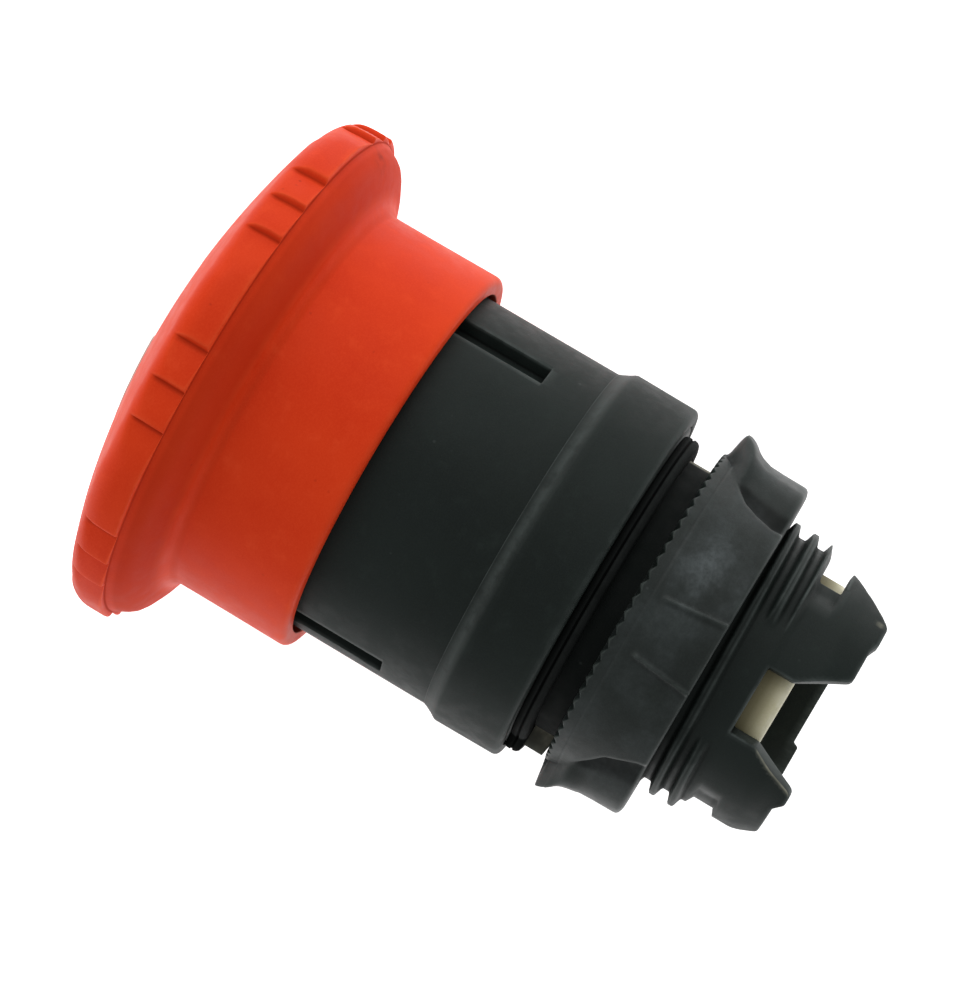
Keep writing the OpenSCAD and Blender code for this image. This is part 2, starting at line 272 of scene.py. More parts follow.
def moulded(name, base, light, dark, edge, roughness, grain_mm, grain_depth, scuff_and_glint=None, specks=None,
            specular=0.2, shade_level=0.35, ior=1.45, even=0.0):
    """Moulded plastic or rubber: cloudy colour, edges lightened as abraded and with a painted highlight,
    hollows darkened with painted shade, fine grain, a few specks.

    The shade level sets how bright the painted shade leaves the hollows, and even is how much of the scuffs
    and painted glints is plain rather than blotchy.
    """
    g = Graph(name)
    cloud = g.noise(90, 4, 0.55)
    patch = g.noise(700, 3, 0.6)
    fine = g.noise(1 / (grain_mm * MM), 4, 0.62)
    colour = g.mix(g.span(cloud, 0.3, 0.72), dark, base)
    colour = g.mix(g.span(patch, 0.52, 0.85, 0, 0.5), colour, light)
    colour = g.mix(g.span(fine, 0.35, 0.75, 0, 0.3), colour, light)
    # convex edges lighten as abraded and with a painted highlight
    worn_and_lit = g.math("MULTIPLY", g.painted("edge"), g.span(patch, 0.3, 0.62, 0.35, 1.0))
    colour = g.mix(worn_and_lit, colour, edge)
    # hollows and other shaded places darken towards a painted shade colour
    shade_colour = tuple(shade_level * c for c in dark[:3]) + (1.0,)
    colour = g.mix(g.math("MULTIPLY", g.painted("hollow"), 0.85), colour, shade_colour)
    if specks:
        dots = g.math("MULTIPLY", g.span(g.cells(900), 0.14, 0.05), g.span(g.noise(260, 2), 0.6, 0.68))
        colour = g.mix(g.math("MULTIPLY", dots, 0.4), colour, specks)
    rough = g.span(patch, 0.3, 0.7, roughness - 0.05, roughness + 0.06)
    rough = g.math("ADD", rough, g.math("MULTIPLY", g.painted("hollow"), 0.3))
    # scuffs, and on some pieces painted glints, highlights and sheen
    if scuff_and_glint:
        blotches = g.math("MULTIPLY", g.span(g.noise(330, 4, 0.55), 0.36, 0.66), g.noise(2400, 3, 0.6))
        if even:
            blotches = g.math("ADD", blotches, even)
        rub_and_glint = g.math("MULTIPLY", g.painted("scuff_and_glint"), blotches)
        colour = g.mix(rub_and_glint, colour, scuff_and_glint)
        rough = g.math("SUBTRACT", rough, g.math("MULTIPLY", rub_and_glint, 0.1))
    g.link(colour, g.shader.inputs["Base Color"])
    g.link(rough, g.shader.inputs["Roughness"])
    wavy = g.bump(g.noise(420, 2), 0.01, 0.5)
    g.link(g.bump(fine, grain_depth, 1.0, wavy), g.shader.inputs["Normal"])
    g.shader.inputs["Specular IOR Level"].default_value = specular
    g.shader.inputs["IOR"].default_value = ior
    return g.material


def steel(name, base, roughness, stretch):
    """Drawn or rolled steel: fine lines along the drawing direction and a cloudy polish."""
    g = Graph(name)
    lines = g.noise(4200, 4, 0.6, stretch)
    cloud = g.noise(350, 3)
    colour = g.mix(g.span(lines, 0.3, 0.7), tuple(0.72 * c for c in base[:3]) + (1.0,), base)
    colour = g.mix(g.span(cloud, 0.62, 0.8, 0, 0.25), colour, rgb(120, 104, 84))
    g.link(colour, g.shader.inputs["Base Color"])
    g.link(g.span(lines, 0.25, 0.75, roughness - 0.06, roughness + 0.1), g.shader.inputs["Roughness"])
    g.link(g.bump(lines, 0.01, 0.6), g.shader.inputs["Normal"])
    g.shader.inputs["Metallic"].default_value = 1.0
    return g.material


RED = moulded("red_moulded", rgb(229, 65, 25), rgb(238, 80, 40), rgb(218, 54, 19), rgb(236, 78, 38),
              0.47, 0.13, 0.006, scuff_and_glint=rgb(96, 14, 6), specks=rgb(150, 22, 14),
              specular=0.14, shade_level=0.6, ior=1.32)
BLACK = moulded("black_moulded", rgb(31, 38, 36), rgb(39, 47, 44), rgb(25, 31, 29), rgb(62, 69, 67),
                0.52, 0.11, 0.008, specks=rgb(62, 68, 66), specular=0.14)
# the barrel's pale scuffing colour paints a nick, painted glints on the key and neck, and painted highlights
# on two tongue edges
BARREL_BLACK = moulded("barrel_moulded", rgb(31, 38, 36), rgb(39, 47, 44), rgb(25, 31, 29),
                       rgb(70, 77, 75), 0.5, 0.11, 0.008, scuff_and_glint=rgb(150, 148, 132),
                       specks=rgb(62, 68, 66), specular=0.16, even=0.3)
# the nut's light scuffing colour paints scuffs and, beside one pad, a painted sheen
NUT_BLACK = moulded("nut_moulded", rgb(33, 40, 38), rgb(45, 52, 49), rgb(25, 31, 29), rgb(54, 61, 58),
                    0.48, 0.12, 0.009, scuff_and_glint=rgb(98, 106, 108), specks=rgb(74, 80, 80), specular=0.28)
CREAM = moulded("cream_moulded", rgb(202, 197, 164), rgb(220, 216, 190), rgb(176, 166, 122),
                rgb(238, 236, 220), 0.42, 0.16, 0.004, specks=rgb(132, 112, 84))
RUBBER = moulded("black_rubber", rgb(21, 24, 23), rgb(28, 31, 30), rgb(15, 17, 17), rgb(38, 41, 40),
                 0.78, 0.09, 0.012, specular=0.08)
WHITE = moulded("white_print", rgb(226, 226, 220), rgb(236, 236, 230), rgb(206, 206, 198), rgb(216, 198, 186),
                0.5, 0.1, 0.004)
SPRING = steel("spring_wire", rgb(190, 190, 188), 0.28, (1, 1, 1))
PLATE = steel("rolled_steel", rgb(176, 178, 178), 0.36, (1, 0.1, 1))


# ---------------------------------------------------------------- mesh tools
def to_row(points):
    x, y, z = np.moveaxis(np.asarray(points, float), -1, 0)
    return np.stack([x, -z, y], -1) * MM


def smooth(x, low, high):
    """0 below low, 1 above high, and a smooth rise between."""
    t = np.clip((np.asarray(x, float) - low) / (high - low), 0, 1)
    return t * t * (3 - 2 * t)


def bell(x, width):
    """1 where x is 0, falling smoothly to nearly nothing at twice the width."""
    return np.exp(-((x / width) ** 2))


def off_angle(a, centre):
    """Angle from centre to a in degrees, from -180 to 180."""
    return (np.asarray(a) - centre + 180) % 360 - 180


def rounded(corners, steps=4):
    """Points of an outline whose corners (x, y, radius) become arcs; the first and last stay sharp."""
    out = [corners[0][:2]]
    for (ax, ay, _), (bx, by, radius), (cx, cy, _) in zip(corners, corners[1:], corners[2:]):
        b = np.array((bx, by), float)
        u = np.array((ax, ay)) - b
        v = np.array((cx, cy)) - b
        lu, lv = np.linalg.norm(u), np.linalg.norm(v)
        u, v = u / lu, v / lv
        angle = math.acos(max(-1, min(1, float(u @ v))))
        if radius <= 0 or angle > math.radians(178):
            out.append((bx, by))
            continue
        cut = min(radius / math.tan(angle / 2), 0.49 * lu, 0.49 * lv)
        radius = cut * math.tan(angle / 2)
        centre = b + (u + v) / np.linalg.norm(u + v) * (radius / math.sin(angle / 2))
        start, end = b + u * cut - centre, b + v * cut - centre
        sweep = math.atan2(start[0] * end[1] - start[1] * end[0], start @ end)
        turns = max(1, round(steps * abs(sweep) / (math.pi / 2)))
        for i in range(turns + 1):
            t = sweep * i / turns
            c, s = math.cos(t), math.sin(t)
            out.append((centre[0] + c * start[0] - s * start[1], centre[1] + s * start[0] + c * start[1]))
    out.append(corners[-1][:2])
    return out


def spaced(points, step):
    """The same path with no gap longer than step."""
    out = [np.array(points[0], float)]
    for p in points[1:]:
        p = np.array(p, float)
        gap = np.linalg.norm(p - out[-1])
        if gap < 1e-6:
            continue
        count = max(1, math.ceil(gap / step))
        out += [out[-1] + (p - out[-1]) * (i / count) for i in range(1, count + 1)]
    return np.array(out)


def angles_with(edges, coarse, fine=0.12, reach=3):
    """Column angles in degrees: every coarse degrees, and packed closely round each edge."""
    near = [e + s * fine * k for e in edges for k in range(reach + 1) for s in (-1, 1)]
    near = np.unique(np.round(np.mod(near, 360), 5))
    base = np.arange(0, 360, coarse)
    if len(near):
        gap = np.min(np.abs((base[:, None] - near[None] + 180) % 360 - 180), axis=1)
        base = base[gap > coarse * 0.45]
    return np.sort(np.concatenate([base, near]))


def paint(mesh, name, values):
    mesh.attributes.new(name, "FLOAT", "POINT").data.foreach_set("value", np.asarray(values, np.float32))


def edges_and_hollows(mesh):
    """How convex and how hollow the surface is at each vertex, for abraded edges with a painted highlight and
    for painted shade in hollows.
    """
    n = len(mesh.vertices)
    co, no = np.zeros(n * 3), np.zeros(n * 3)
    mesh.vertices.foreach_get("co", co)
    mesh.vertices.foreach_get("normal", no)
    co, no = co.reshape(-1, 3) / MM, no.reshape(-1, 3)
    pairs = np.zeros(len(mesh.edges) * 2, int)
    mesh.edges.foreach_get("vertices", pairs)
    a, b = pairs.reshape(-1, 2).T
    d = co[b] - co[a]
    length = np.maximum(np.linalg.norm(d, axis=1), 1e-6)
    bend = ((no[b] - no[a]) * d).sum(1) / length**2
    total, count = np.zeros(n), np.zeros(n)
    for v in (a, b):
        np.add.at(total, v, bend)
        np.add.at(count, v, 1)
    bend = total / np.maximum(count, 1)
    return np.clip((bend - 0.25) / 2.2, 0, 1), np.clip((-bend - 0.25) / 2.2, 0, 1)


def finish_piece(name, points, faces, material, body, nodes, scuff_and_glint=None, shade=None, highlight_line=None):
    """Makes a piece of mesh from points in mm, and paints abraded edges with a painted highlight, painted
    shade, scuffs and painted glints.

    Three optional functions add to the paint: one of angle, z and r for scuffs and painted glints, one of r
    and z for painted shade, and one of z for a painted highlight line. A body of None leaves the piece
    unattached.
    """
    mesh = bpy.data.meshes.new(name)
    mesh.from_pydata(to_row(points).tolist(), [], faces)
    bm = bmesh.new()
    bm.from_mesh(mesh)
    bmesh.ops.remove_doubles(bm, verts=bm.verts, dist=WELD)
    bmesh.ops.dissolve_degenerate(bm, edges=bm.edges, dist=WELD)
    bmesh.ops.recalc_face_normals(bm, faces=bm.faces)
    bm.to_mesh(mesh)
    bm.free()
    mesh.polygons.foreach_set("use_smooth", np.ones(len(mesh.polygons), bool))
    mesh.update()
    co = np.zeros(len(mesh.vertices) * 3)
    mesh.vertices.foreach_get("co", co)
    x, minus_z, y = (co.reshape(-1, 3) / MM).T
    r, z = np.hypot(x, y), -minus_z
    # edge lightens convex edges as abraded and with a painted highlight; hollow darkens creases and recesses
    # with painted shade
    edge, hollow = edges_and_hollows(mesh)
    if shade is not None:
        hollow = np.maximum(hollow, shade(r, z))
    if highlight_line is not None:
        edge = np.maximum(edge, highlight_line(z))
    paint(mesh, "edge", edge)
    paint(mesh, "hollow", hollow)
    # scuffs, with painted glints, highlights and sheen on some pieces
    if scuff_and_glint is not None:
        paint(mesh, "scuff_and_glint", scuff_and_glint(np.degrees(np.arctan2(y, x)), z, r))
    mesh.materials.append(material)
    piece = bpy.data.objects.new(name, mesh)
    bpy.context.scene.collection.objects.link(piece)
    if body is not None:
        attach(piece, body)
    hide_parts(*nodes)
    normals = piece.modifiers.new("even_shading", "WEIGHTED_NORMAL")
    normals.weight = 50
    return piece


def lathe(profile, angles, shape=None, closed=True):
    """Points and faces of a profile (r, z) turned round the axis; shape may move each point."""
    profile = np.asarray(profile, float)
    a, r = np.meshgrid(np.asarray(angles, float), profile[:, 0])
    z = np.repeat(profile[:, 1:], len(angles), axis=1)
    if shape is not None:
        r, z = shape(r, z, a)
    rad = np.radians(a)
    points = np.stack([r * np.cos(rad), r * np.sin(rad), z], -1).reshape(-1, 3)
    rows, cols = len(profile), len(angles)
    last = rows if closed else rows - 1
    i, j = np.meshgrid(np.arange(last), np.arange(cols), indexing="ij")
    k, m = (i + 1) % rows, (j + 1) % cols
    faces = np.stack([i * cols + j, i * cols + m, k * cols + m, k * cols + j], -1).reshape(-1, 4)
    return points, faces.tolist()


# ---------------------------------------------------------------- mushroom cap
def dome_z(r):
    """Height of the cap's front at radius r: a shallow dome that rolls over into the rim."""
    r = np.clip(r, 0, CAP_R)
    dome = CAP_TOP - DOME_R + np.sqrt(DOME_R**2 - r**2)
    roll = RIM_FRONT + np.sqrt(np.clip(RIM_ROUND**2 - (r - CAP_R + RIM_ROUND) ** 2, 0, None))
    return np.where(r < CAP_R - 1.23, dome, roll)


GRIP_ANGLES = [WINDOW + group * 360 / GRIP_GROUPS + step * GRIP_STEP
               for group in range(GRIP_GROUPS) for step in (-1, 0, 1)]


def cap_shape(r, z, a):
    """Cuts the saw-tooth grips into the rim: a steep wall, then a ramp towards smaller angles."""
    wall = 1.0
    soft = 0.16
    floor = np.full_like(r, CAP_R + 1)
    grip = np.zeros_like(r)
    for start in GRIP_ANGLES:
        back = -off_angle(a, start)
        cut = GRIP_DEPTH * np.clip(1 - back / GRIP_STEP, 0, 1) * smooth(back, -wall, 0)
        cut[(back < -wall) | (back > GRIP_STEP)] = 0
        floor = np.where(cut > 0, np.minimum(floor, CAP_R + 0.02 - cut), floor)
        grip = np.maximum(grip, smooth(GRIP_STEP - np.abs(back - GRIP_STEP / 2), 0, GRIP_STEP / 2))
    over = r - floor
    cut = np.where(over > soft, over, np.clip(over + soft, 0, None) ** 2 / (4 * soft))
    in_band = (z > RIM_REAR - 0.75) & (r > 17)
    front = smooth(z, RIM_FRONT - 0.6, RIM_FRONT + 0.8) * smooth(r, 15.5, 18.5) * (z > RIM_REAR)
    sink = 0.07 * grip * front
    return np.where(in_band, r - cut, r) - sink * smooth(r, 17.5, 19.5), z - sink


def build_cap():
    roll = CAP_R - RIM_ROUND + RIM_ROUND * np.sin(np.radians(np.arange(24, 91, 6)))
    radii = np.concatenate([np.arange(0, 14, 1.0), np.arange(14, 18.7, 0.5), roll])
    front = [(r, float(dome_z(r))) for r in radii]
    side = rounded([(CAP_R, RIM_FRONT, 0), (CAP_R, RIM_REAR, 0.22), (19.45, RIM_REAR, 0.2),
                    (19.25, 29.95, 0.3), (18.75, 29.0, 1.4), (17.5, 28.35, 1.4),
                    (16.55, CREASE_Z + 0.05, 0.3), (15.85, 27.72, 0.5),
                    (SKIRT_R + 0.03, 27.25, 0.8), (SKIRT_R + 0.02, 24, 0),
                    (SKIRT_R + 0.05, SKIRT_END, 0.75), (SKIRT_BORE_R + 0.2, SKIRT_END, 0)], 6)
    bore = rounded([(SKIRT_BORE_R + 0.2, SKIRT_END, 0), (SKIRT_BORE_R, SKIRT_END, 0.2),
                    (SKIRT_BORE_R, CAP_CEILING, 0.4), (0, CAP_CEILING, 0)], 4)
    profile = np.concatenate([front, spaced(side, 0.5)[1:], spaced(bore, 2.5)[1:]])
    columns = angles_with([a + 0.5 for a in GRIP_ANGLES], 0.9, 0.2, 3)

    def scuffed(a, z, r):
        """A dark knock on the back of the flange."""
        return 2 * bell(off_angle(a, 171), 3.5) * bell(z - 29.3, 0.7)

    def shaded(r, z):
        """Painted shade on the back of the flange, between the skirt and the rim."""
        return 0.55 * smooth(r, 15.6, 16.8) * smooth(RIM_REAR - 0.1 - z, 0, 0.5) * (z > 26)

    def worn_and_lit(z):
        """A pale line along the crease behind the rim, abraded and with a painted highlight."""
        return 0.8 * bell(z - CREASE_Z, 0.1)

    points, faces = lathe(profile, columns, cap_shape, closed=False)
    finish_piece("cap_shell", points, faces, RED, "cap", ["mushroom_cap"],
                 scuffed, shaded, worn_and_lit)


build_cap()


# ---------------------------------------------------------------- sleeve, bezel and gasket
def sleeve_shape(r, z, a):
    """Cuts the three long grooves into the sleeve's outside."""
    half = GROOVE_W / 2
    soft = 0.07
    for side in GROOVE_SIDES:
        across = np.abs(np.radians(off_angle(a, side))) * SLEEVE_R
        cut = smooth(half - across, -soft, soft) * smooth(z - GROOVE_END, -soft, soft)
        r = np.where(r > SLEEVE_BORE_R + 0.9, r - cut * (r - SLEEVE_R + 1.0), r)
    return r, z


def build_sleeve():
    end_rows = [GROOVE_END + d for d in (0.2, 0.07, 0.04, 0.015, -0.015, -0.04, -0.07, -0.2)]
    rows = (SLEEVE_TOP - 3.2, 18.6, 18, 17, 15, 13, 12, *end_rows, 10.5, 9, 8, 7.2, 6.4)
    seal_groove_r = 12.9
    seal_front, seal_rear = SLEEVE_TOP - 1.7, SLEEVE_TOP - 2.8
    top = rounded([(12.6, SLEEVE_TOP, 0), (SLEEVE_R - 0.1, SLEEVE_TOP, 0.5),
                   (SLEEVE_R - 0.1, seal_front, 0.1),
                   (seal_groove_r, seal_front, 0.05), (seal_groove_r, seal_rear, 0.05),
                   (SLEEVE_R, seal_rear, 0.1), (SLEEVE_R, SLEEVE_TOP - 3.2, 0)])
    foot = [(SLEEVE_R, 6.25), (12.9, 6.2), (12.9, GASKET_H + 0.02), (NECK_R + 0.05, GASKET_H + 0.02),
            (NECK_R + 0.05, 3.0)]
    side = [(SLEEVE_R, z) for z in rows]
    profile = [(SLEEVE_BORE_R, 3.1), (SLEEVE_BORE_R, SLEEVE_TOP), *top, *side, *foot]
    groove_half = math.degrees(GROOVE_W / 2 / SLEEVE_R)
    edges = [s + d for s in GROOVE_SIDES for d in (-groove_half, groove_half)]
    columns = angles_with(edges, 1.5, 0.1, 3)
    points, faces = lathe(profile, columns, sleeve_shape)
    finish_piece("sleeve_shell", points, faces, BLACK, "body", ["outer_sleeve"])


def build_bezel():
    profile = rounded([(13.0, GASKET_H, 0), (BEZEL_R - 0.05, GASKET_H, 0.45),
                       (BEZEL_R, BEZEL_TOP - 0.25, 0.5), (13.95, BEZEL_TOP + 0.2, 0.5),
                       (13.68, BEZEL_TOP + 0.75, 0.5), (SLEEVE_R + 0.015, 7.6, 0.02),
                       (SLEEVE_R + 0.012, 6.3, 0.0), (13.0, 6.3, 0)], 6)
    points, faces = lathe(spaced(profile, 0.5), np.arange(0, 360, 1.25))
    # a painted highlight line along the bezel's front slope
    finish_piece("bezel_shell", points, faces, BLACK, "body", ["bezel_ring"],
                 highlight_line=lambda z: 0.9 * bell(z - BEZEL_TOP - 0.25, 0.4))


def gasket_shape(r, z, a):
    """Bulges the gasket out round the locating key."""
    lobe = smooth(14.5 - np.abs(off_angle(a, 0)), 0, 2.2)
    return np.where(r > 11.5, r + lobe * 0.95, r), z


def build_gasket():
    ribs = [(12.3, 0.45), (12.3, 0.52), (12.2, 0.58), (12.2, 0.68), (12.3, 0.74), (12.3, 0.95)]
    profile = [(NECK_R + 0.04, 0.0), (11.4, 0.0), (11.9, 0.02), (12.12, 0.1), (12.25, 0.25), *ribs,
               (12.26, 1.1), (12.2, 1.19), (11.4, 1.19), (NECK_R + 0.04, 1.19)]
    points, faces = lathe(profile, np.arange(0, 360, 1.0), gasket_shape)
    # painted shade on the gasket, darker towards the bezel
    finish_piece("gasket_ring", points, faces, RUBBER, "body", ["panel_gasket"],
                 shade=lambda r, z: 0.6 * smooth(z, 0.7, 1.1))


build_sleeve()
build_bezel()
build_gasket()


# ---------------------------------------------------------------- nut
NUT_R = 12.6
# An ear's outline as (z, radius), from the nut's front face to its rear face
EAR = [(-1.75, 12.5), (-1.95, 12.6), (-2.12, 12.9), (-2.32, 13.9), (-2.46, 14.42), (-2.62, 14.6),
       (-2.8, 14.58), (-3.1, 14.47), (-3.36, 14.34), (-3.65, 14.12), (-3.9, 13.9), (-4.2, 13.72),
       (-4.5, 13.59), (-5.1, 13.42), (-6.2, 13.37), (-7.9, 13.35), (-8.15, 13.28), (-8.35, 13.0)]
# How far an ear's two flanks and its core reach from its middle, as (depth, degrees)
SHORT_FLANK = [(2.0, 8.5), (2.6, 14), (3.2, 20), (3.8, 26.8), (5.0, 34), (6.1, 36.9), (7.5, 39), (8.4, 38.5)]
LONG_FLANK = [(2.0, 8.5), (2.6, 14), (3.2, 20), (3.6, 25.5), (5.5, 39.9), (7.7, 45.8), (8.4, 46.5)]
EAR_CORE = [(2.0, 4), (2.6, 7), (3.2, 10), (3.8, 13), (8.4, 16)]


def along(table, x):
    """Value of a table of (x, value) at x."""
    xs, values = np.array(table).T
    return np.interp(x, xs, values)


def nut_shape(r, z, a):
    """Raises the two ears, scoops their flanks, raises the two shallow pads and cuts the crown teeth."""
    a = a - NUT_TURN
    depth = -z
    outside = r > 12.0
    for side in (0, 180):
        beside = off_angle(a, side)
        lean = 0.5 * smooth(z, -5, -3.4) * (side == 0)
        height = along(EAR[::-1], z - lean)
        half = np.where(beside > 0, along(LONG_FLANK, depth), along(SHORT_FLANK, depth))
        inward = half - np.abs(beside)
        rise = smooth(inward, 0, half - along(EAR_CORE, depth))
        scoop = 0.75 * smooth(inward, -1.5, 4) * smooth(depth, 3.2, 4.8) * (1 - rise)
        lift = rise * np.maximum(height - NUT_R, 0) * smooth(depth, 1.7, 2.1)
        r = np.where(outside, r + lift - scoop, r)
    for side in (90, 270):
        across = np.abs(np.radians(off_angle(a, side))) * NUT_R
        half = along([(3.6, 2.15), (8.35, 2.65)], depth)
        ridge = 0.3 * bell(across - half, 0.17)
        pad = 0.1 * smooth(half - across, -0.1, 0.25)
        r = np.where(outside, r + (ridge + pad) * smooth(depth, 3.5, 4.0), r)
    wave = np.abs((a * NUT_TEETH / 360) % 1 - 0.5) * 2
    tooth = 0.3 * smooth(r, 11.2, 12.2) * smooth(z, NUT_FRONT - 0.4, NUT_FRONT + 0.01)
    return r, z - tooth * (1 - wave)


def build_nut():
    front = [(NECK_R + 0.1, NUT_FRONT - 0.3), (NECK_R + 0.35, NUT_FRONT), (11.2, NUT_FRONT),
             (11.6, NUT_FRONT), (12.0, NUT_FRONT), (12.35, NUT_FRONT), (12.5, NUT_FRONT - 0.03),
             (12.56, NUT_FRONT - 0.12)]
    outer = [(12.57, z) for z in np.arange(-1.93, -2.8, -0.07)]
    outer += [(NUT_R, z) for z in np.arange(-2.84, -8.0, -0.16)]
    rear = [(NUT_R, -8.05), (12.57, -8.2), (12.47, -8.3), (12.3, NUT_REAR), (11.6, NUT_REAR),
            (NECK_R + 0.4, NUT_REAR), (NECK_R + 0.1, NUT_REAR + 0.3)]
    inner = [(NECK_R + 0.1, z) for z in (-7, -5, -3)]
    columns_per_tooth = 8
    count = NUT_TEETH * columns_per_tooth
    columns = NUT_TURN + np.arange(count) * 360 / count

    def scuffed(a, z, r):
        """Handled patches all over, and most of all beside one of the pads, where the lighter patch is also a
        painted sheen.
        """
        return 0.75 * bell(off_angle(a, 118), 13) * bell(z + 5.2, 1.9) + 0.18

    def shaded(r, z):
        """Painted shade in the scoops beside the ears."""
        return smooth(12.58 - r, 0, 0.3) * smooth(-z, 3.0, 3.8) * (r > 11.6) * (z > -8.2)

    points, faces = lathe(front + outer + rear + inner, columns, nut_shape)
    finish_piece("ring_nut", points, faces, NUT_BLACK, "nut", ["mounting_nut"],
                 scuffed, shaded)


build_nut()


# ---------------------------------------------------------------- flat outlines bent onto a surface
def inset(loop, free, distance):
    """Moves a closed anticlockwise outline inwards.

    Edge i runs from point i to point i + 1, and stays where it is if free[i] is set.
    """
    count = len(loop)
    step = np.roll(loop, -1, 0) - loop
    step /= np.linalg.norm(step, axis=1)[:, None]
    normal = np.stack([-step[:, 1], step[:, 0]], 1)
    move = np.where(free, 0.0, distance)
    out = np.empty_like(loop)
    for i in range(count):
        n1, n2 = normal[i - 1], normal[i]
        d1, d2 = move[i - 1], move[i]
        det = n1[0] * n2[1] - n1[1] * n2[0]
        if abs(det) < 0.02:
            out[i] = loop[i] + n1 * (d1 + d2) / 2
        else:
            out[i] = loop[i] + np.array([d1 * n2[1] - d2 * n1[1], d2 * n1[0] - d1 * n2[0]]) / det
    return out


def inside(points, loop, margin):
    """Which points lie inside the outline, and at least margin from its edges."""
    a, b = loop, np.roll(loop, -1, 0)
    ab = b - a
    within = np.zeros(len(points), bool)
    near = np.full(len(points), np.inf)
    for (ax, ay), (bx, by), (dx, dy) in zip(a, b, ab):
        px, py = points[:, 0] - ax, points[:, 1] - ay
        t = np.clip((px * dx + py * dy) / (dx * dx + dy * dy), 0, 1)
        near = np.minimum(near, np.hypot(px - t * dx, py - t * dy))
        if ay != by:
            crosses = (ay > points[:, 1]) != (by > points[:, 1])
            within ^= crosses & (points[:, 0] < (bx - ax) * (points[:, 1] - ay) / (by - ay) + ax)
    return within & (near > margin)


def filled(loop, seeds, margin):
    """Triangles that fill an outline, with the seed points that lie inside it as extra corners."""
    keep = seeds[inside(seeds, loop, margin)]
    every = [Vector(p) for p in np.concatenate([loop, keep])]
    edges = [(i, (i + 1) % len(loop)) for i in range(len(loop))]
    verts, _, tris, *_ = delaunay_2d_cdt(every, edges, [list(range(len(loop)))], 1, 1e-7)
    return np.array([tuple(v) for v in verts]), [list(t) for t in tris]


def bent_plate(loop, free, outer, inner, seeds_out, seeds_in, edge, margin):
    """A solid whose outline is drawn flat, with outer(p, depth) and inner(p, depth) as its two faces.

    Its edges are rounded by edge on the outer face and by half of that on the inner face.
    """
    steps = 4
    points, faces, start = [], [], 0
    turns = [math.pi / 2 * k / steps for k in range(steps + 1)]
    rings = []
    for surface, radius, order in ((outer, edge, turns[::-1]), (inner, edge * 0.5, turns)):
        for t in order:
            ring = inset(loop, free, radius * (1 - math.cos(t)))
            rings.append((surface, ring, radius * (1 - math.sin(t))))
    count = len(loop)
    for n, (surface, ring, depth) in enumerate(rings):
        points.append(surface(ring, depth))
        if n:
            for i in range(count):
                if not free[i]:
                    j = (i + 1) % count
                    faces.append([start - count + i, start - count + j, start + j, start + i])
        start += count
    for surface, ring, seeds in ((outer, rings[0][1], seeds_out), (inner, rings[-1][1], seeds_in)):
        flat, tris = filled(ring, seeds, margin)
        points.append(surface(flat, 0.0))
        faces += [[start + v for v in t] for t in tris]
        start += len(flat)
    return np.concatenate(points), faces


# ---------------------------------------------------------------- threaded barrel with its tongues
SEAM = -160


def thread_height(a, z):
    """Share of the full thread depth at angle a and height z: a helix that fades out on two sides."""
    phase = (z + 9.2) / PITCH - off_angle(a, WINDOW) / 360
    ridge = np.abs((phase + 0.5) % 1 - 0.5) * PITCH
    shape = smooth(0.52 - ridge, 0, 0.36)
    window_side = smooth(38 - np.abs(off_angle(a, 94)), 0, 14)
    far_side = smooth(34 - np.abs(off_angle(a, 270)), 0, 10)
    flat = np.maximum(window_side, far_side)
    keep = np.where(z > -9.75, 0.55, 0.0)
    return shape * (1 - flat * (1 - keep)) * smooth(-THREAD_END + z, 0.05, 0.5)


def barrel_r(a, z):
    """Outside radius of the barrel at angle a and height z."""
    r = ROOT_R + (NECK_R - ROOT_R) * thread_height(a, z) * smooth(-z, 1.9, 2.4)
    r = np.where(z > -2.1, ROOT_R + (NECK_R - ROOT_R) * smooth(z, -2.1, -1.95), r)
    tail = smooth(THREAD_END + 0.15 - z, 0, 0.3)
    hidden_side = 1 - smooth(60 - np.abs(off_angle(a, 90)), 0, 16)
    groove = tail * smooth(z, HOOK_TOP - 0.1, HOOK_TOP + 0.05) * hidden_side * 0.55
    taper = 0.45 * smooth(-z, 15.2, 17.6)
    r = r - groove - taper - 0.05 * tail
    across = np.abs(np.radians(off_angle(a, 0))) * NECK_R
    key = smooth(KEY_W / 2 - across, -0.08, 0.08) * smooth(z, -1.63, -1.47)
    r = r + key * (KEY_R - NECK_R) * (z < 1.25)
    return np.where(z > 3.0, 11.84, r)


def outer_barrel(p, depth):
    a = p[:, 0] / ROOT_R
    r = barrel_r(np.degrees(a), p[:, 1]) - depth
    return np.stack([r * np.cos(a), r * np.sin(a), p[:, 1]], 1)


def inner_barrel(p, depth):
    a = p[:, 0] / ROOT_R
    r = np.full(len(a), BARREL_BORE_R) + depth
    return np.stack([r * np.cos(a), r * np.sin(a), p[:, 1]], 1)


